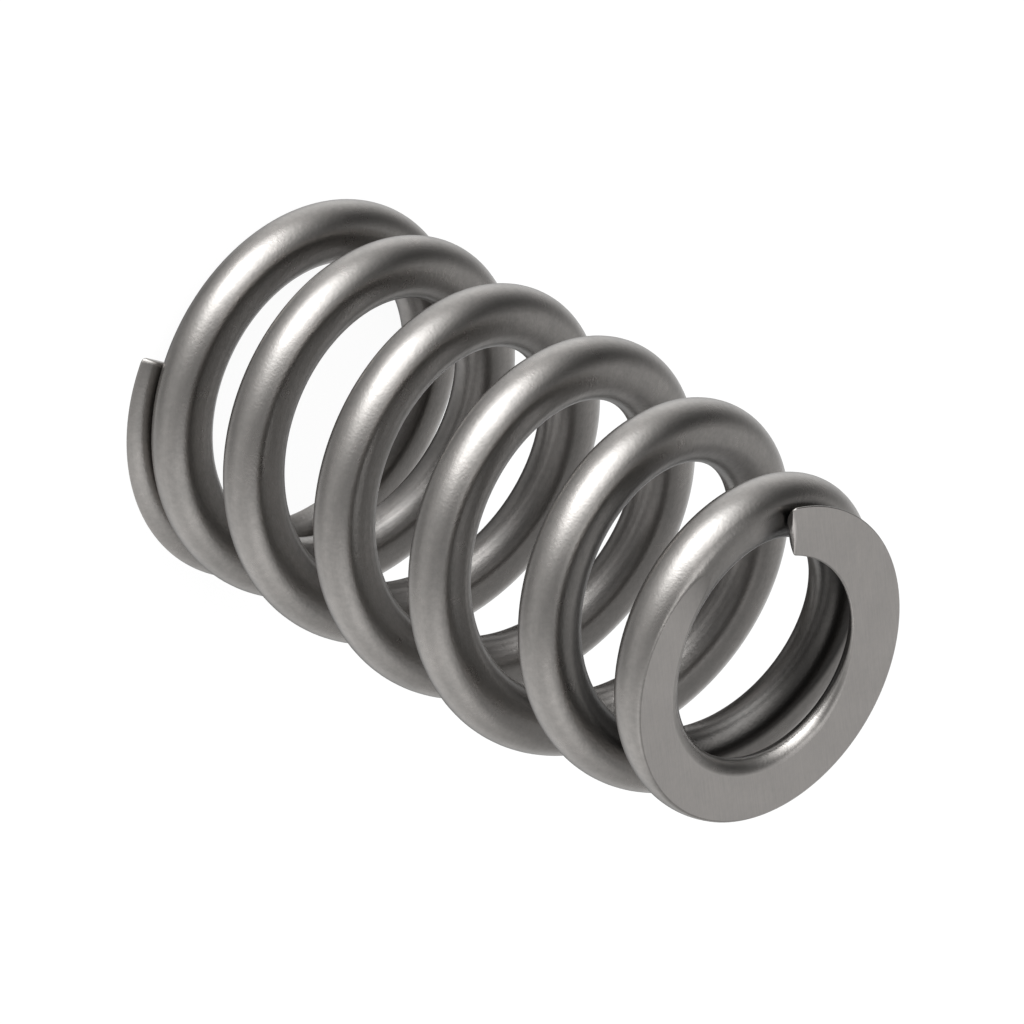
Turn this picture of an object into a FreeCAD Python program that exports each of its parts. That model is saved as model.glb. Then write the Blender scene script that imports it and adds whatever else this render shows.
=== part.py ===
import FreeCAD, Part
import math
import os
import Sketcher
from FreeCAD import Placement, Rotation, Vector

# A valve spring is one length of oval steel wire. It is coiled to the right, with
# equal coils at the large end that draw in over the last turns to a small end, and
# the last turn at each end is closed up and ground flat.
# The origin is the centre of the large end's ground face, and +Z runs up the axis
# to the small end. Turns are counted along the wire, from the small end's tip down.

sizes = [
    ("free_length", 54.0, "from one ground face to the other"),
    ("base_outside_diameter", 29.7, "over the equal coils of the large end"),
    ("top_outside_diameter", 25.5, "over the closed coil of the small end"),
    ("wire_width", 4.6, "across the coil's wall"),
    ("wire_height", 3.85, "along the spring's axis"),
    ("wire_crown_radius", 5.8, "of the flatter upper and lower sides of the wire"),
    ("total_turns", 6.79, "from tip to tip"),
    ("top_tip_angle", 8.0, "degrees round from +X, seen from above"),
    ("taper_start_turn", 1.0, "where the coils start to widen"),
    ("taper_end_turn", 2.6, "where they reach the base diameter"),
    ("tip_bend_turns", 1.0, "length of wire over which a tip leaves its coil's radius"),
    ("top_tip_tuck", 0.85, "how far the upper tip is drawn in"),
    ("base_tip_flare", 0.55, "how far the lower tip stands out"),
    ("top_closed_turns", 0.8, "before the pitch opens"),
    ("top_opening_turns", 0.3, "over which the pitch opens"),
    ("base_closing_turns", 3.0, "over which the pitch closes towards the base"),
    ("closed_coil_gap", 0.1, "left between a tip and the next coil"),
    ("top_tip_thickness", 0.75, "left of the wire at the upper tip"),
    ("base_tip_thickness", 0.9, "left of the wire at the lower tip"),
    ("ground_edge_chamfer", 0.12, "breaks the edges of the ground faces"),
    ("path_points_per_turn", 16, "points that carry the wire's centre line"),
]

doc = FreeCAD.newDocument("valve_spring")
sheet = doc.addObject("Spreadsheet::Sheet", "sizes")
for row, (name, value, note) in enumerate(sizes, start=1):
    sheet.set(f"A{row}", name)
    sheet.set(f"B{row}", str(value))
    sheet.setAlias(f"B{row}", name)
    sheet.set(f"C{row}", note)
doc.recompute()


def size(name):
    return float(sheet.get(name))


# Smooth step from 0 to 1, and the area under it from 0 to u.
def ease(u):
    u = min(max(u, 0.0), 1.0)
    return u * u * (3 - 2 * u)


def ease_area(u):
    inside = min(max(u, 0.0), 1.0)
    return inside ** 3 - inside ** 4 / 2 + max(u - 1.0, 0.0)


# How far the wire's centre drops along its turns. The pitch is closed at the top,
# opens over a short bend, stays constant, and closes up again towards the base.
class Pitch:
    def __init__(self):
        self.turns = size("total_turns")
        self.opening_start = size("top_closed_turns")
        self.opening = size("top_opening_turns")
        self.closing = size("base_closing_turns")
        half_height = size("wire_height") / 2
        self.first_depth = size("top_tip_thickness") - half_height
        last_depth = size("free_length") + half_height - size("base_tip_thickness")
        # the drop is linear in the active pitch, so two trials give the right one
        self.closed_drop = size("wire_height") + size("closed_coil_gap")
        self.set_active(0.0)
        drop_at_none = self.depth(self.turns) - self.first_depth
        self.set_active(1.0)
        drop_at_one = self.depth(self.turns) - self.first_depth
        wanted = last_depth - self.first_depth
        self.set_active((wanted - drop_at_none) / (drop_at_one - drop_at_none))

    # The pitches at the two tips follow: one turn from each tip, the wire just
    # clears itself.
    def set_active(self, active):
        opened = self.opening * ease_area((1 - self.opening_start) / self.opening)
        closed = (self.closing ** 3 - (self.closing - 1) ** 3) / (3 * self.closing ** 2)
        self.active = active
        self.at_top = (self.closed_drop - active * opened) / (1 - opened)
        self.at_base = active - (active - self.closed_drop) / closed

    def depth(self, turn):
        opened = self.opening * ease_area((turn - self.opening_start) / self.opening)
        into_closing = max(turn - (self.turns - self.closing), 0.0)
        closed = into_closing ** 3 / (3 * self.closing ** 2)
        drop = self.at_top * turn + (self.active - self.at_top) * opened
        return self.first_depth + drop - (self.active - self.at_base) * closed


# Radius of the wire's centre: the closed top coil, the widening coils, the equal
# coils of the base, and the bends that set each tip in or out.
def coil_radius(turn):
    half_width = size("wire_width") / 2
    top = size("top_outside_diameter") / 2 - half_width
    base = size("base_outside_diameter") / 2 - half_width
    start = size("taper_start_turn")
    bend = size("tip_bend_turns")
    widened = ease((turn - start) / (size("taper_end_turn") - start))
    tucked = ease(1 - turn / bend)
    flared = ease(1 - (size("total_turns") - turn) / bend)
    return (top + (base - top) * widened
            - size("top_tip_tuck") * tucked + size("base_tip_flare") * flared)


# The wire's centre line is a smooth curve through evenly spaced points. Seen from
# above it runs clockwise as it goes down, which makes the spring right-handed.
def centre_line():
    pitch = Pitch()
    first_angle = math.radians(size("top_tip_angle"))
    steps = round(size("total_turns") * size("path_points_per_turn"))
    points = []
    for step in range(steps + 1):
        turn = size("total_turns") * step / steps
        angle = first_angle - 2 * math.pi * turn
        radius = coil_radius(turn)
        height = size("free_length") - pitch.depth(turn)
        points.append(Vector(radius * math.cos(angle), radius * math.sin(angle), height))
    curve = Part.BSplineCurve()
    curve.interpolate(points)
    print(f"active pitch {pitch.active:.2f}, at the tips {pitch.at_top:.2f} and {pitch.at_base:.2f}")
    return curve


curve = centre_line()
path = doc.addObject("Part::Feature", "wire_path")
path.Shape = Part.Wire([curve.toShape()])


# The wire's section is an oval of four tangent arcs: two small ones at the inside
# and outside of the coil, and two flatter ones above and below.
def wire_section():
    half_width = size("wire_width") / 2
    half_height = size("wire_height") / 2
    crown = size("wire_crown_radius")
    side = (2 * crown * half_height - half_height ** 2 - half_width ** 2) / (2 * (crown - half_width))
    joint = math.atan2(crown - half_height, half_width - side)
    right, left = Vector(half_width - side, 0, 0), Vector(side - half_width, 0, 0)
    above, below = Vector(0, crown - half_height, 0), Vector(0, half_height - crown, 0)
    arcs = [
        (right, side, -joint, joint),
        (below, crown, joint, math.pi - joint),
        (left, side, math.pi - joint, math.pi + joint),
        (above, crown, math.pi + joint, 2 * math.pi - joint),
    ]
    sketch = doc.addObject("Sketcher::SketchObject", "wire_section")
    for centre, radius, start, end in arcs:
        circle = Part.Circle(centre, Vector(0, 0, 1), radius)
        sketch.addGeometry(Part.ArcOfCircle(circle, start, end), False)
    widest = sketch.addGeometry(Part.Point(Vector(half_width, 0, 0)), True)
    start_point, end_point, centre_point = 1, 2, 3
    origin, level_axis = (-1, 1), -1
    for arc in range(4):
        following = (arc + 1) % 4
        sketch.addConstraint(Sketcher.Constraint("Tangent", arc, end_point, following, start_point))
    sketch.addConstraint(Sketcher.Constraint("Equal", 0, 2))
    sketch.addConstraint(Sketcher.Constraint("Equal", 1, 3))
    sketch.addConstraint(Sketcher.Constraint("Vertical", 1, centre_point, 3, centre_point))
    sketch.addConstraint(Sketcher.Constraint("Symmetric", 1, centre_point, 3, centre_point, *origin))
    sketch.addConstraint(Sketcher.Constraint("PointOnObject", widest, start_point, 0))
    sketch.addConstraint(Sketcher.Constraint("PointOnObject", widest, start_point, level_axis))
    driven = [
        ("crown_radius", Sketcher.Constraint("Radius", 1, crown), "sizes.wire_crown_radius"),
        ("crown_centres",
         Sketcher.Constraint("DistanceY", 1, centre_point, 3, centre_point, 2 * above.y),
         "2 * sizes.wire_crown_radius - sizes.wire_height"),
        ("half_width", Sketcher.Constraint("DistanceX", *origin, widest, start_point, half_width),
         "sizes.wire_width / 2"),
    ]
    for name, constraint, expression in driven:
        sketch.renameConstraint(sketch.addConstraint(constraint), name)
        sketch.setExpression(f"Constraints.{name}", expression)
    return sketch


section = wire_section()
# it stands across the start of the path, its width pointing out from the axis
start = curve.StartPoint
along = curve.tangent(curve.FirstParameter)[0]
outwards = Vector(start.x, start.y, 0).normalize()
section.Placement = Placement(start, Rotation(outwards, Vector(0, 0, 1), along, "XZY"))

coiled_wire = doc.addObject("Part::Sweep", "coiled_wire")
coiled_wire.Sections = [section]
coiled_wire.Spine = (path, ["Edge1"])
coiled_wire.Solid = True
coiled_wire.Frenet = True

# Grinding keeps what lies between the two end planes.
kept_length = doc.addObject("Part::Cylinder", "kept_length")
kept_length.setExpression("Height", "sizes.free_length")
kept_length.setExpression("Radius", "sizes.base_outside_diameter")
ground_wire = doc.addObject("Part::Common", "ground_wire")
ground_wire.Base = coiled_wire
ground_wire.Tool = kept_length
doc.recompute()


# Edges that lie wholly in one of the ground faces.
def ground_edges(shape):
    found = []
    for number, edge in enumerate(shape.Edges, start=1):
        box = edge.BoundBox
        for plane in (0.0, size("free_length")):
            if abs(box.ZMin - plane) < 1e-4 and abs(box.ZMax - plane) < 1e-4:
                found.append(number)
    return found


chamfer_size = size("ground_edge_chamfer")
broken_edges = doc.addObject("Part::Chamfer", "broken_edges")
broken_edges.Base = ground_wire
broken_edges.Edges = [(number, chamfer_size, chamfer_size) for number in ground_edges(ground_wire.Shape)]
doc.recompute()

# Where a ground face runs out to nothing, its chamfer can come out turned over. Healing
# turns it back and moves nothing.
healed = broken_edges.Shape.copy()
precision, widest_gap = 1e-6, 1e-3
healed.fix(precision, precision, widest_gap)
spring = doc.addObject("Part::Feature", "valve_spring")
spring.Label = "valve_spring"
spring.Shape = healed
doc.recompute()

for item in doc.Objects:
    if "Invalid" in item.State or "Error" in item.State:
        raise RuntimeError(f"{item.Name} did not build: {item.State}")
subparts = [spring]
for item in subparts:
    shape = item.Shape
    if shape.isNull() or not shape.isValid() or len(shape.Solids) != 1:
        raise RuntimeError(f"{item.Label} is not one valid solid")
    box = shape.optimalBoundingBox()
    print(f"{item.Label}: {shape.Volume:.1f} mm3, {box.XLength:.2f} x {box.YLength:.2f} x {box.ZLength:.2f} mm")

os.makedirs("parts", exist_ok=True)
for item in subparts:
    item.Shape.exportStep(f"parts/{item.Label}.step")
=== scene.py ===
import math

import bpy
from mathutils import Matrix, Vector


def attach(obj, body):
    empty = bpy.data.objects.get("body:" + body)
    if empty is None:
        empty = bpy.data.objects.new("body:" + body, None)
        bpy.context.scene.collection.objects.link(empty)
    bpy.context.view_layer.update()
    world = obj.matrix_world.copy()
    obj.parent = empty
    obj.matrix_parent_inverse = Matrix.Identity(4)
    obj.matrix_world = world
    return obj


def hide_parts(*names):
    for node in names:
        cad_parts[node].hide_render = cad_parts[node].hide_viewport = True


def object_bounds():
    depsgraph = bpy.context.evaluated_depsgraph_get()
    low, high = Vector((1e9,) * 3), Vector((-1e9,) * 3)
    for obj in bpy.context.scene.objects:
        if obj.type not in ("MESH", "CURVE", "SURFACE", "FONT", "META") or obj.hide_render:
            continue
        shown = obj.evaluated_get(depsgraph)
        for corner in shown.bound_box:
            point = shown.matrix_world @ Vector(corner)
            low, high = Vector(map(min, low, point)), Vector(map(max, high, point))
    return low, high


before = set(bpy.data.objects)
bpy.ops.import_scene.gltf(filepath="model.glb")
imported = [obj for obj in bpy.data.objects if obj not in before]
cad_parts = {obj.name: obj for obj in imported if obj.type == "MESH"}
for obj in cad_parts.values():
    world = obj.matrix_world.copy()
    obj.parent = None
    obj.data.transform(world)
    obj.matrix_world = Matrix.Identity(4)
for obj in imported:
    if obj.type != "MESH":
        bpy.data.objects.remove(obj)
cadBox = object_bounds()
print("frame loaded:", sorted(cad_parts))

white, black = (1.0, 1.0, 1.0, 1.0), (0.0, 0.0, 0.0, 1.0)


# A socket that can be written into formulas: each operator adds its Math node.
class Value:
    def __init__(self, tree, socket):
        self.tree = tree
        self.socket = socket

    def maths(self, operation, *others):
        return self.tree.add("ShaderNodeMath", {"operation": operation}, (self,) + others)

    def __add__(self, other):
        return self.maths("ADD", other)

    def __sub__(self, other):
        return self.maths("SUBTRACT", other)

    def __mul__(self, other):
        return self.maths("MULTIPLY", other)

    def __truediv__(self, other):
        return self.maths("DIVIDE", other)

    def __pow__(self, other):
        return self.maths("POWER", other)

    def __neg__(self):
        return self.maths("MULTIPLY", -1.0)

    def __rsub__(self, other):
        return -self + other

    def __rtruediv__(self, other):
        return self.maths("POWER", -1.0) * other

    __radd__ = __add__
    __rmul__ = __mul__

    def clamp(self, low=0.0, high=1.0):
        return self.maths("MAXIMUM", low).maths("MINIMUM", high)

    def above(self, other):
        return self.maths("GREATER_THAN", other)

    def ease(self, start, end):  # smooth step from 0 at start to 1 at end
        u = ((self - start) / (end - start)).clamp()
        return u * u * (3.0 - u * 2.0)


# A node tree with one method that adds any node: its type, its settings, which are
# set first, and the values or links of its sockets, by position or by name.
class Tree:
    def __init__(self, tree):
        self.tree = tree

    def add(self, kind, settings=None, sockets=(), output=0):
        node = self.tree.nodes.new(kind)
        for name, value in (settings or {}).items():
            setattr(node, name, value)
        pairs = sockets.items() if isinstance(sockets, dict) else enumerate(sockets)
        for key, value in pairs:
            if isinstance(value, Value):
                self.tree.links.new(value.socket, node.inputs[key])
            else:
                node.inputs[key].default_value = value
        return Value(self, node.outputs[output]) if node.outputs else node

    def other(self, value, output):  # another output of the same node
        return Value(self, value.socket.node.outputs[output])

    def choose(self, test, ifTrue, ifFalse):  # test is 0 or 1, or between them where it fades
        return ifFalse + test * (ifTrue - ifFalse)

    def blend(self, factor, first, second):  # of colours: the node has other sockets of the same names
        return self.add("ShaderNodeMix", {"data_type": "RGBA"}, {0: factor, 6: first, 7: second}, 2)


def emptyTree(owner):  # of a material or a world
    owner.use_nodes = True
    owner.node_tree.nodes.clear()
    return Tree(owner.node_tree)


# The spring is the same coil as the part's own node, from the same sizes, in metres
# here. Its mesh also has the rounded edges that grinding and peening leave. Turns are
# counted along the wire, from the small end's tip down.
spring = {
    "freeLength": 0.054,
    "baseRadius": 0.01255,  # of the wire's centre, over the equal coils
    "topRadius": 0.01045,
    "halfWidth": 0.0023,  # of the wire, across the coil's wall
    "halfHeight": 0.001925,
    "crownRadius": 0.0058,
    "turns": 6.79,
    "tipAngle": math.radians(8.0),
    "taperStart": 1.0,  # turns between which the coils widen
    "taperEnd": 2.6,
    "tipBend": 1.0,  # turns over which each tip leaves its coil's radius
    "tipTuck": 0.00085,
    "baseFlare": 0.00055,
    "closedTurns": 0.8,
    "openingTurns": 0.3,
    "closingTurns": 3.0,
    "coilGap": 0.0001,
    "topTip": 0.00075,  # thickness left at each tip
    "baseTip": 0.0009,
    "outerBreak": 0.00015,  # rounding of the ground faces' edges
    "innerBreak": 0.00020,
    "innerWear": 0.00090,  # more of it, on the small end's inner edge
    "wearStart": 0.22,  # turns between which that lies
    "wearEnd": 0.80,
    "wearFade": 0.2,  # turns over which it comes and goes
    "breakFlatness": 0.35,  # of a rounded edge: 0 is round, 1 a straight bevel
    "tipBreak": 0.00030,  # rounding of the wire's two ends
    "tipSkew": math.radians(11.7),  # the upper tip is cut off at a slant
    "tipLean": 0.3,  # and is thicker outside than inside
    "tipReach": 0.08,  # turns over which these fade
}

# How finely the mesh follows that shape, and how small its parts may get.
fineness = {
    "rows": 1100,  # along the wire
    "roundRows": 4,  # of them, over the rounding of each tip
    "flatSteps": 5,  # round half the section: the ground face, its edge, and the wire's side
    "cornerSteps": 5,
    "archSteps": 24,
    "flatCrowding": 3.0,  # how closely the ground face's steps crowd towards its edge
    "leastFlat": 0.00036,  # a ground face this narrow, to half its width, fades into the wire
    "fullFlat": 0.0014,
    "leastBreak": 0.000005,
    "leastReach": 0.0001,  # of a point from the section's middle, which the tips' rounding divides by
    "highestCut": 0.9987,  # sine of the steepest normal that the oval may be cut at
}


# The pitch of the active coils and of both tips, as in the part's source: one turn
# from each tip, the wire clears itself by the coil gap.
def pitches(size):
    height = size["halfHeight"] * 2
    u = (1 - size["closedTurns"]) / size["openingTurns"]
    inside = min(max(u, 0.0), 1.0)
    opened = size["openingTurns"] * (inside ** 3 - inside ** 4 / 2 + max(u - 1, 0.0))
    closing = size["closingTurns"]
    closed = (closing ** 3 - (closing - 1) ** 3) / (3 * closing ** 2)
    fall = height + size["coilGap"]
    wanted = size["freeLength"] + height - size["baseTip"] - size["topTip"]

    def drop(active):
        atTop = (fall - active * opened) / (1 - opened)
        atBase = active - (active - fall) / closed
        openTurns = size["turns"] - size["closedTurns"] - size["openingTurns"] / 2
        total = atTop * size["turns"] + (active - atTop) * openTurns
        return total - (active - atBase) * closing / 3, atTop, atBase

    # the drop is linear in the active pitch, so two trials give the right one
    atNone, atOne = drop(0.0)[0], drop(1.0)[0]
    active = (wanted - atNone) / (atOne - atNone)
    return active, drop(active)[1], drop(active)[2]


def coilTree(size, fine, material):
    group = bpy.data.node_groups.new("coiledWire", "GeometryNodeTree")
    group.interface.new_socket("Geometry", in_out="OUTPUT", socket_type="NodeSocketGeometry")
    for name in size:
        group.interface.new_socket(name, in_out="INPUT", socket_type="NodeSocketFloat")
    tree = Tree(group)
    first = tree.add("NodeGroupInput")

    def g(name):
        return tree.other(first, name)

    active, atTop, atBase = pitches(size)

    # rows along the wire and points around it; the first and last rows round the tips
    rows, roundRows = fine["rows"], fine["roundRows"]
    flatSteps, cornerSteps, archSteps = fine["flatSteps"], fine["cornerSteps"], fine["archSteps"]
    half = 2 * flatSteps + 2 * cornerSteps + archSteps
    around = 2 * half
    index = tree.add("GeometryNodeInputIndex")
    row = (index / around).maths("FLOOR")
    point = index - row * around
    rowAngle = math.pi / 2 / roundRows
    fromTop = row.maths("MINIMUM", roundRows) * rowAngle
    fromBase = (row * -1.0 + (rows - 1)).maths("MINIMUM", roundRows) * rowAngle
    inset = g("tipBreak") * (1.0 - fromTop.maths("MINIMUM", fromBase).maths("SINE"))
    rounding = g("tipBreak") / (g("topRadius") * math.tau)
    wireShare = ((row - roundRows) / (rows - 1 - 2 * roundRows)).clamp()
    turn = (rounding * (1.0 - fromTop.maths("COSINE") + fromBase.maths("COSINE"))
            + wireShare * (g("turns") - rounding * 2.0))

    # the wire's centre: its angle, radius and height, and how steeply it falls
    angle = g("tipAngle") - turn * math.tau
    widened = turn.ease(g("taperStart"), g("taperEnd"))
    tucked = 1.0 - turn.ease(0.0, g("tipBend"))
    flared = turn.ease(g("turns") - g("tipBend"), g("turns"))
    radius = (g("topRadius") + (g("baseRadius") - g("topRadius")) * widened
              - g("tipTuck") * tucked + g("baseFlare") * flared)
    u = (turn - g("closedTurns")) / g("openingTurns")
    inside = u.clamp()
    openedArea = inside ** 3.0 - inside ** 4.0 / 2.0 + (u - 1.0).maths("MAXIMUM", 0.0)
    opened = openedArea * g("openingTurns")
    intoClosing = (turn - g("turns") + g("closingTurns")).maths("MAXIMUM", 0.0)
    closed = intoClosing ** 3.0 / (g("closingTurns") * g("closingTurns") * 3.0)
    depth = (g("topTip") - g("halfHeight") + turn * atTop + opened * (active - atTop)
             - closed * (active - atBase))
    height = g("freeLength") - depth
    openedHere = turn.ease(g("closedTurns"), g("closedTurns") + g("openingTurns"))
    closedHere = (intoClosing / g("closingTurns")) ** 2.0
    steepness = openedHere * (active - atTop) + atTop - closedHere * (active - atBase)
    slope = (steepness / (radius * math.tau)).maths("ARCTANGENT")

    # the oval of four arcs: where its arcs meet, and where the grinding cuts it
    a, b, crown = g("halfWidth"), g("halfHeight"), g("crownRadius")
    sideArc = (crown * b * 2.0 - b * b - a * a) / ((crown - a) * 2.0)
    joint = (crown - b).maths("ARCTAN2", a - sideArc)
    sineJoint = joint.maths("SINE")
    cosSlope = slope.maths("COSINE")

    def cutAngle(space):  # of the oval's normal where a cut that far above its centre meets it
        onSide = (space / sideArc).clamp(-1.0, 1.0)
        onCrown = ((space + crown - b) / crown).clamp(-1.0, fine["highestCut"])
        high = onSide.above(sineJoint)
        return tree.choose(high, onCrown.maths("ARCSINE"), onSide.maths("ARCSINE"))

    def oval(normal):  # point of the oval whose normal points that way
        sine, cosine = normal.maths("SINE"), normal.maths("COSINE")
        onCrown = sine.maths("ABSOLUTE").above(sineJoint)
        x = (a - sideArc) * (1.0 - onCrown) + cosine * tree.choose(onCrown, crown, sideArc)
        y = sine * tree.choose(onCrown, crown, sideArc) - (crown - b) * onCrown * sine.maths("SIGN")
        return x, y

    outer = 1.0 - (point - half).above(0.5)
    step = half - (point - half).maths("ABSOLUTE")  # 0 at the top of the section, half at its bottom
    lower = step.above(half / 2)
    wearBegun = turn.ease(g("wearStart"), g("wearStart") + g("wearFade"))
    wearEnded = turn.ease(g("wearEnd") - g("wearFade"), g("wearEnd"))
    worn = wearBegun * (1.0 - wearEnded)
    asked = tree.choose(outer, g("outerBreak"), g("innerBreak") + g("innerWear") * worn)

    def groundFace(space):  # its height in the section, its corner, and the rounding of that
        cut = cutAngle(space)
        cornerX, cornerY = oval(cut)
        widest = ((cornerX - fine["leastFlat"]) / 2.0).maths("MAXIMUM", fine["leastBreak"])
        breakSize = asked.maths("MINIMUM", widest)
        bendEnd = cut - breakSize / tree.choose(cut.maths("SINE").above(sineJoint), crown, sideArc)
        return {"height": space.maths("MINIMUM", b), "cornerX": cornerX, "cornerY": cornerY,
                "breakSize": breakSize, "bendEnd": bendEnd}

    topFace = groundFace((g("freeLength") - height) / cosSlope)
    baseFace = groundFace(height / cosSlope)

    def nearer(name):  # of the two faces, the one on the point's own side of the section
        return tree.choose(lower, baseFace[name], topFace[name])

    cornerX, cornerY, breakSize = nearer("cornerX"), nearer("cornerY"), nearer("breakSize")

    # steps counted from the nearer ground face: flat, corner, and the arch between them
    near = tree.choose(lower, half - step, step)
    onFlat = 1.0 - near.above(flatSteps + 0.5)
    onCorner = (1.0 - onFlat) * (1.0 - near.above(flatSteps + cornerSteps - 0.5))
    onArch = 1.0 - onFlat - onCorner
    flatShare = 1.0 - (1.0 - (near / flatSteps).clamp()) ** fine["flatCrowding"]
    flatX = (cornerX - breakSize) * flatShare
    flatY = ((crown * crown - flatX * flatX).maths("SQRT") - (crown - b)).maths("MINIMUM", nearer("height"))

    # the corner is a curve from the face to the wire's side, drawn towards its sharp edge
    t = ((near - flatSteps) / cornerSteps).clamp()
    startX = cornerX - breakSize
    endX, endY = oval(nearer("bendEnd"))
    flatness = g("breakFlatness")
    pulledX = cornerX * (1.0 - flatness) + (startX + endX) * (flatness / 2.0)
    pulledY = cornerY * (1.0 - flatness) + (cornerY + endY) * (flatness / 2.0)

    def bend(start, pulled, end):
        return start * (1.0 - t) * (1.0 - t) + pulled * t * (1.0 - t) * 2.0 + end * t * t

    archShare = ((step - (flatSteps + cornerSteps)) / archSteps).clamp()
    archX, archY = oval(topFace["bendEnd"] * (1.0 - archShare) - baseFace["bendEnd"] * archShare)
    x = onFlat * flatX + onCorner * bend(startX, pulledX, endX) + onArch * archX
    y = onFlat * flatY + onCorner * bend(cornerY, pulledY, endY) + onArch * archY
    x = x * (outer * 2.0 - 1.0)
    y = y * (1.0 - lower * (onFlat + onCorner) * 2.0)  # the arch's own height has its sign already

    # the upper tip is slanted, and leans under its face
    atTip = 1.0 - turn.ease(0.0, g("tipReach"))
    y = topFace["height"] + (y - topFace["height"]) * (x / a * g("tipLean") * atTip + 1.0)

    # round the end faces off, then place the section across the wire
    middle = (topFace["height"] - baseFace["height"]) / 2.0
    reach = (x * x + (y - middle) * (y - middle)).maths("SQRT").maths("MAXIMUM", fine["leastReach"])
    shrink = 1.0 - inset / reach
    out = radius + x * shrink
    lift = middle + (y - middle) * shrink
    slant = x * g("tipSkew").maths("TANGENT") * atTip
    swing = angle + (slant - lift * slope.maths("SINE")) / radius
    place = tree.add("ShaderNodeCombineXYZ", None, (
        out * swing.maths("COSINE"), out * swing.maths("SINE"), height + lift * cosSlope))

    path = tree.add("GeometryNodeCurvePrimitiveLine", None, {"End": (0.0, 0.0, 1.0)})
    path = tree.add("GeometryNodeResampleCurve", None, {"Curve": path, "Count": rows})
    ring = tree.add("GeometryNodeCurvePrimitiveCircle", None, {"Resolution": around})
    tube = tree.add("GeometryNodeCurveToMesh", None, {
        "Curve": path, "Profile Curve": ring, "Fill Caps": True})
    tube = tree.add("GeometryNodeSetPosition", None, {"Geometry": tube, "Position": place})
    wideEnough = cornerX.ease(fine["leastFlat"], fine["fullFlat"])
    marks = {  # what the steel reads
        "ground": onFlat * wideEnough,
        "turn": turn,
        "across": x,
        "lift": y,
        "edge": onCorner * wideEnough,
    }
    for name, value in marks.items():
        tube = tree.add("GeometryNodeStoreNamedAttribute", {"data_type": "FLOAT", "domain": "POINT"},
                        {"Geometry": tube, "Name": name, "Value": value})
    tube = tree.add("GeometryNodeSetShadeSmooth", None, {"Geometry": tube, "Shade Smooth": True})
    tube = tree.add("GeometryNodeRealizeInstances", None, {"Geometry": tube})
    tube = tree.add("GeometryNodeSetMaterial", None, {"Geometry": tube, "Material": material})
    tree.add("NodeGroupOutput", None, {"Geometry": tube})
    return group


def makeSpring(size, fine, material):
    holder = bpy.data.objects.new("springBuild", bpy.data.meshes.new("springBuild"))
    bpy.context.scene.collection.objects.link(holder)
    group = coilTree(size, fine, material)
    modifier = holder.modifiers.new("coil", "NODES")
    modifier.node_group = group
    for item in group.interface.items_tree:
        if item.in_out == "INPUT":
            modifier[item.identifier] = size[item.name]
    holder.update_tag()
    evaluated = holder.evaluated_get(bpy.context.evaluated_depsgraph_get())
    mesh = bpy.data.meshes.new_from_object(evaluated)
    holder.modifiers.remove(modifier)
    bpy.data.objects.remove(holder)
    mesh.name = "coilSpring"
    piece = bpy.data.objects.new("coilSpring", mesh)
    bpy.context.scene.collection.objects.link(piece)
    triangles = sum(len(face.vertices) - 2 for face in mesh.polygons)
    print("spring mesh:", len(mesh.vertices), "points,", triangles, "triangles")
    return piece


# The wire is dark spring steel, shot-peened all over: fine dimples, faint lines left by
# drawing the wire, and patches of thinner and thicker oxide. Inside the coils painted shade
# darkens it, most of all where the small end's last two coils face each other. The ground
# faces are paler bare metal with straight grinding marks.
steel = {
    "paleOxide": (0.316, 0.299, 0.285, 1.0),
    "darkOxide": (0.252, 0.242, 0.231, 1.0),
    "oxideMottle": 1.6,  # how strongly each pattern turns it from dark to pale
    "oxidePatches": 1.2,
    "oxideLines": 0.5,
    "innerStart": -0.1,  # shares of the wire's half width, between which its inner side darkens with painted shade
    "innerEnd": 0.9,
    "innerPaintedShade": 0.37,  # share of its brightness that the inner side loses to painted shade
    "closedPaintedShade": 0.12,  # painted shade it loses besides, inside the closed small end
    "closedStart": 2.4,  # turns from the small end's tip, over which that begins
    "closedEnd": 1.4,
    "gapPaintedShade": 0.76,  # share lost to painted shade where its last two coils face each other
    "secondStart": 0.85,  # turns between which the end coil becomes the second one
    "secondEnd": 1.05,
    "facingStart": -0.1,  # shares of the half height, between which a coil turns to the other
    "facingEnd": 0.4,
    "narrowStart": 0.05,  # shares of the half width, between which the painted shade in their gap grows
    "narrowEnd": 0.3,
    "deepTurn": 1.35,  # up to here the painted gap shade reaches further out on the second coil, by this share of the half width for each turn
    "deepRate": 2.0,  # by this share of the half width for each turn
    "roughness": 0.29,
    "roughnessSpread": 0.12,
    "roughnessMottle": 0.5,  # how much the small patches count in that, beside the large ones
    "innerRoughness": 0.04,  # what the inner side adds
    "dimple": 0.00021,  # size of a peening mark
    "dimpleDepth": 0.000010,
    "drawnLine": 0.00018,  # width of a line along the wire
    "drawnLength": 0.0020,
    "lineDepth": 0.0000015,
    "innerSmooth": 0.95,  # share of that depth which the inner side lacks
    "mottle": 0.00045,  # size of the small and large patches
    "patch": 0.0032,
    "groundPale": (0.525, 0.498, 0.476, 1.0),
    "groundDark": (0.440, 0.420, 0.405, 1.0),
    "groundGrind": 1.5,  # how strongly each pattern turns it from dark to pale
    "groundMottle": 0.8,
    "groundPatches": 0.8,
    "groundRoughness": 0.42,
    "grindAngle": math.radians(28.0),  # of the grinding marks, round from +X
    "grindLine": 0.00010,
    "grindLength": 0.0030,
    "grindDepth": 0.000004,
}


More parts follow.
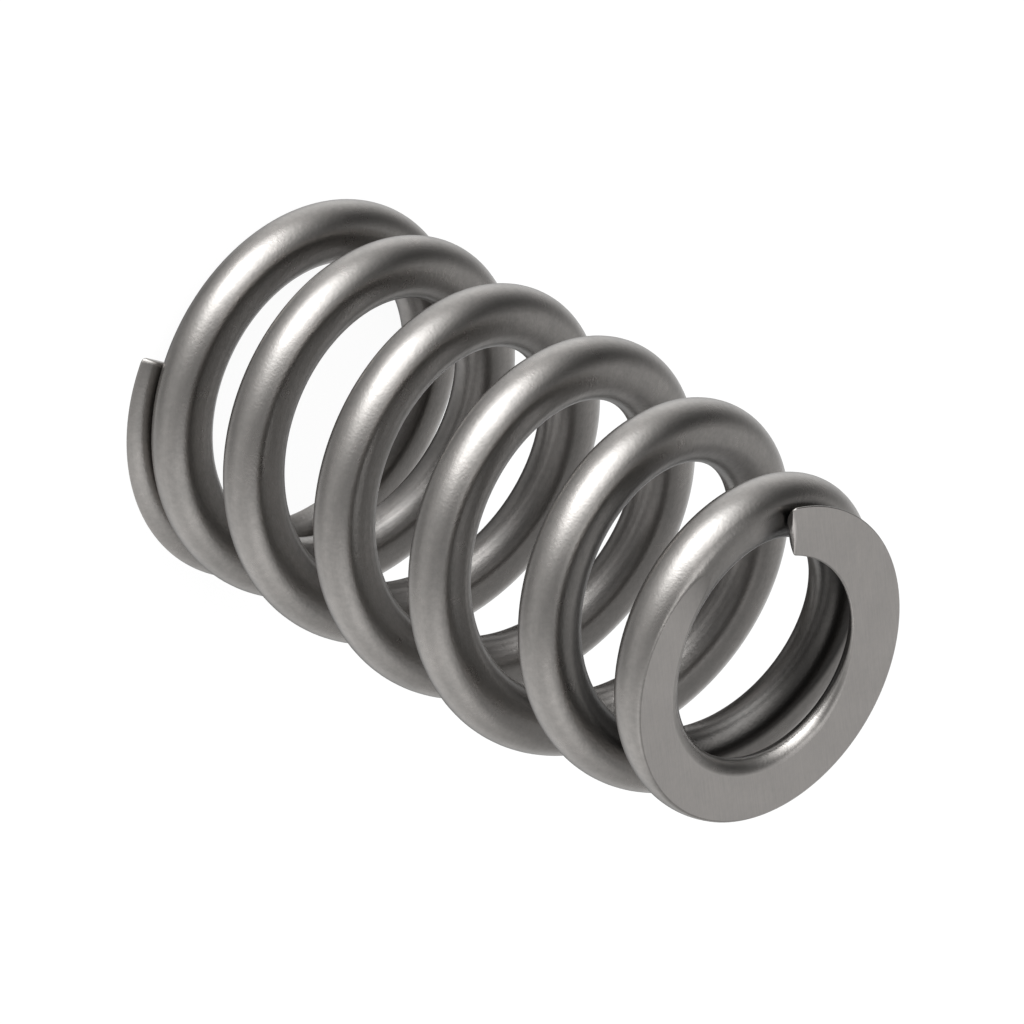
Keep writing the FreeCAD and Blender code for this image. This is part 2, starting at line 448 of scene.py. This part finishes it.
def makeSteel(look, size):
    material = bpy.data.materials.new("peenedSteel")
    tree = emptyTree(material)
    place = tree.add("ShaderNodeTexCoord", output="Object")

    def noise(vector, scale, detail=2.0, roughness=0.55):
        return tree.add("ShaderNodeTexNoise", None, {
            "Vector": vector, "Scale": scale, "Detail": detail, "Roughness": roughness})

    def mark(name):
        return tree.add("ShaderNodeAttribute", {"attribute_name": name}, output="Fac")

    # where on the wire this is
    ground = mark("ground").clamp()
    offEdge = 1.0 - mark("edge").clamp()
    turn = mark("turn")
    inwards = mark("across") / -size["halfWidth"]
    rise = mark("lift") / size["halfHeight"]
    inner = inwards.ease(look["innerStart"], look["innerEnd"]) * offEdge

    # the patterns
    alongWire = turn * (math.tau * size["baseRadius"] / look["drawnLength"])
    acrossWire = mark("across") / look["drawnLine"]
    overWire = mark("lift") / look["drawnLine"]
    wirePlace = tree.add("ShaderNodeCombineXYZ", None, (alongWire, acrossWire, overWire))
    drawn = noise(wirePlace, 1.0)
    dimples = noise(place, 1 / look["dimple"], detail=1.0)
    mottle = noise(place, 1 / look["mottle"], detail=3.0, roughness=0.6)
    patches = noise(place, 1 / look["patch"])
    grindPlace = tree.add("ShaderNodeMapping", {"vector_type": "TEXTURE"}, {
        "Vector": place, "Rotation": (0.0, 0.0, look["grindAngle"]),
        "Scale": (look["grindLength"], look["grindLine"], look["grindLength"])})
    grind = noise(grindPlace, 1.0, detail=3.0, roughness=0.6)

    # the painted shade inside the coils, kept off the rounded edges, and darkest in the gap between the small
    # end's last two coils
    nearTip = turn.ease(look["closedStart"], look["closedEnd"])
    secondCoil = turn.ease(look["secondStart"], look["secondEnd"])
    facing = tree.choose(secondCoil, rise, -rise).ease(look["facingStart"], look["facingEnd"]) * nearTip
    deeper = (look["deepTurn"] - turn).clamp() * look["deepRate"] * secondCoil
    narrow = (inwards + deeper).ease(look["narrowStart"], look["narrowEnd"]) * offEdge
    openPaintedShade = inner * (look["innerPaintedShade"] + nearTip * look["closedPaintedShade"])
    # where two coils face each other, the painted gap shade takes over from the inner side's painted shade
    shade = tree.choose(facing, narrow * look["gapPaintedShade"], openPaintedShade)

    # colour, roughness and relief, of the wire and of its ground faces
    oxide = ((mottle - 0.5) * look["oxideMottle"] + (patches - 0.5) * look["oxidePatches"]
             + (drawn - 0.5) * look["oxideLines"] + 0.5).clamp()
    bare = ((grind - 0.5) * look["groundGrind"] + (mottle - 0.5) * look["groundMottle"]
            + (patches - 0.5) * look["groundPatches"] + 0.5).clamp()
    # the painted shade darkens the oxide's colour towards black
    wireColour = tree.blend(shade, tree.blend(oxide, look["darkOxide"], look["paleOxide"]), black)
    groundColour = tree.blend(bare, look["groundDark"], look["groundPale"])
    colour = tree.blend(ground, wireColour, groundColour)
    unevenness = patches - 0.5 + (mottle - 0.5) * look["roughnessMottle"]
    wireRoughness = (unevenness * -look["roughnessSpread"] + look["roughness"]
                     + inner * look["innerRoughness"])
    roughness = tree.choose(ground, look["groundRoughness"], wireRoughness)
    lineDepth = look["lineDepth"] * (1.0 - inner * look["innerSmooth"])
    wireHeight = dimples * look["dimpleDepth"] + drawn * lineDepth
    height = tree.choose(ground, grind * look["grindDepth"], wireHeight)
    bump = tree.add("ShaderNodeBump", None, {"Strength": 1.0, "Distance": 1.0, "Height": height})
    shader = tree.add("ShaderNodeBsdfPrincipled", None, {
        "Base Color": colour, "Metallic": 1.0, "Roughness": roughness, "Normal": bump})
    tree.add("ShaderNodeOutputMaterial", None, {"Surface": shader})
    return material


# The camera stands where the photograph was taken from: the spring's small end comes
# towards it, down and to the right. Its values were fitted to the coil's outlines there.
cameraView = {
    "azimuth": 69.93,  # degrees round from +X
    "elevation": 42.88,
    "distance": 0.68143,
    "roll": 119.73,  # from upright, clockwise as the picture shows it
    "aimRight": -0.00087,  # of the middle of the spring's axis
    "aimUp": 0.00048,
    "lens": 335.64,
    "sensor": 36.0,
    "nearest": 0.05,  # what comes closer isn't shown
}


def direction(azimuth, elevation):
    flat = math.cos(math.radians(elevation))
    return Vector((flat * math.cos(math.radians(azimuth)), flat * math.sin(math.radians(azimuth)),
                   math.sin(math.radians(elevation))))


def makeCamera(view):
    towards = direction(view["azimuth"], view["elevation"])
    level = Vector((0, 0, 1)).cross(towards).normalized()
    turned = Matrix.Rotation(math.radians(view["roll"]), 3, towards)
    right = turned @ level
    up = towards.cross(right)
    middle = Vector((0, 0, (cadBox[0].z + cadBox[1].z) / 2))
    aim = middle + right * view["aimRight"] + up * view["aimUp"]
    camera = bpy.data.objects.new("photoCamera", bpy.data.cameras.new("photoCamera"))
    camera.data.lens = view["lens"]
    camera.data.sensor_width = view["sensor"]
    camera.data.clip_start = view["nearest"]
    turn = Matrix((right, up, towards)).transposed().to_4x4()
    camera.matrix_world = Matrix.Translation(aim + towards * view["distance"]) @ turn
    bpy.context.scene.collection.objects.link(camera)
    bpy.context.scene.camera = camera


# The studio is a dim room with soft patches of light and shade round the spring. Each
# patch has its direction, its radiance at the middle, and how sharply it falls off. A
# least-squares fit to the photograph's brightness gave the patches their values, and
# the two keys were then raised.
studio = {
    "room": 0.020,
    "darkest": 0.02,  # what the shade leaves
    "brightest": 4.0,  # where the light has its key tint
    "keyTint": (0.985, 1.0, 1.012, 1.0),
    "backdrop": 1.0,  # what the camera itself sees behind the floor
    "patches": {
        "keyHigh": {"azimuth": 11, "elevation": 46, "radiance": 2.30, "sharpness": 20.0},
        "keyLow": {"azimuth": 30, "elevation": 11, "radiance": 7.50, "sharpness": 9.9},
        "fillWall": {"azimuth": 164, "elevation": 47, "radiance": 1.02, "sharpness": 8.1},
        "darkWall": {"azimuth": 299, "elevation": -54, "radiance": -2.50, "sharpness": 2.1},
        "lowGlow": {"azimuth": 319, "elevation": -48, "radiance": 3.08, "sharpness": 3.6},
        "tableGlow": {"azimuth": 136, "elevation": -60, "radiance": 3.53, "sharpness": 1.6},
        "endCard": {"azimuth": 301, "elevation": 76, "radiance": 2.23, "sharpness": 32.2},
        "sideCard": {"azimuth": 266, "elevation": 28, "radiance": 0.55, "sharpness": 12.8},
        "darkTable": {"azimuth": 118, "elevation": -52, "radiance": -2.50, "sharpness": 3.8},
        "nadir": {"azimuth": 1, "elevation": -71, "radiance": -0.97, "sharpness": 10.9},
        "backShade": {"azimuth": 243, "elevation": -45, "radiance": -2.50, "sharpness": 5.4},
        "paper": {"azimuth": 250, "elevation": -30, "radiance": 2.50, "sharpness": 5.0},
    },
    "overhead": {"height": 1.2, "size": 1.5, "radiance": 1.0},
}


def makeLights(setting):
    world = bpy.data.worlds.new("studio")
    bpy.context.scene.world = world
    tree = emptyTree(world)
    towards = tree.add("ShaderNodeTexCoord", output="Generated")
    radiance = setting["room"]
    for patch in setting["patches"].values():
        centre = direction(patch["azimuth"], patch["elevation"])
        closeness = tree.add("ShaderNodeVectorMath", {"operation": "DOT_PRODUCT"}, (towards, centre), "Value")
        falloff = ((closeness - 1.0) * patch["sharpness"]).maths("EXPONENT")
        radiance = falloff * patch["radiance"] + radiance
    radiance = radiance.maths("MAXIMUM", setting["darkest"])
    brightness = (radiance / setting["brightest"]).clamp()
    tone = tree.blend(brightness, white, setting["keyTint"])
    lit = tree.add("ShaderNodeBackground", None, {"Color": tone, "Strength": radiance})
    seen = tree.add("ShaderNodeBackground", None, {"Color": white, "Strength": setting["backdrop"]})
    fromCamera = tree.add("ShaderNodeLightPath", output="Is Camera Ray")
    either = tree.add("ShaderNodeMixShader", None, (fromCamera, lit, seen))
    tree.add("ShaderNodeOutputWorld", None, {"Surface": either})

    # a wide light overhead brightens the floor and casts its soft shadow
    overhead = setting["overhead"]
    light = bpy.data.lights.new("overhead", "AREA")
    light.size = overhead["size"]
    light.energy = overhead["radiance"] * math.pi * overhead["size"] ** 2
    lamp = bpy.data.objects.new("overhead", light)
    lamp.location = (0, 0, overhead["height"])
    lamp.visible_glossy = False
    bpy.context.scene.collection.objects.link(lamp)


floorLook = {"size": 6.0, "colour": (0.06, 0.06, 0.06, 1.0), "roughness": 0.9, "glow": 0.94}


def makeFloor(look):
    mesh = bpy.data.meshes.new("floor")
    reach = look["size"] / 2
    corners = [(-reach, -reach, 0), (reach, -reach, 0), (reach, reach, 0), (-reach, reach, 0)]
    mesh.from_pydata(corners, [], [(0, 1, 2, 3)])
    floor = bpy.data.objects.new("floor", mesh)
    bpy.context.scene.collection.objects.link(floor)
    material = bpy.data.materials.new("paleFloor")
    tree = emptyTree(material)
    shader = tree.add("ShaderNodeBsdfPrincipled", None, {
        "Base Color": look["colour"], "Roughness": look["roughness"],
        "Emission Color": white, "Emission Strength": look["glow"]})
    tree.add("ShaderNodeOutputMaterial", None, {"Surface": shader})
    mesh.materials.append(material)
    floor.visible_glossy = False


bpy.context.scene.view_settings.view_transform = "Standard"
makeCamera(cameraView)
makeLights(studio)
makeFloor(floorLook)
print("camera, lights and floor placed")

coil = makeSpring(spring, fineness, makeSteel(steel, spring))
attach(coil, "root")
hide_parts("valve_spring")
print("spring made")
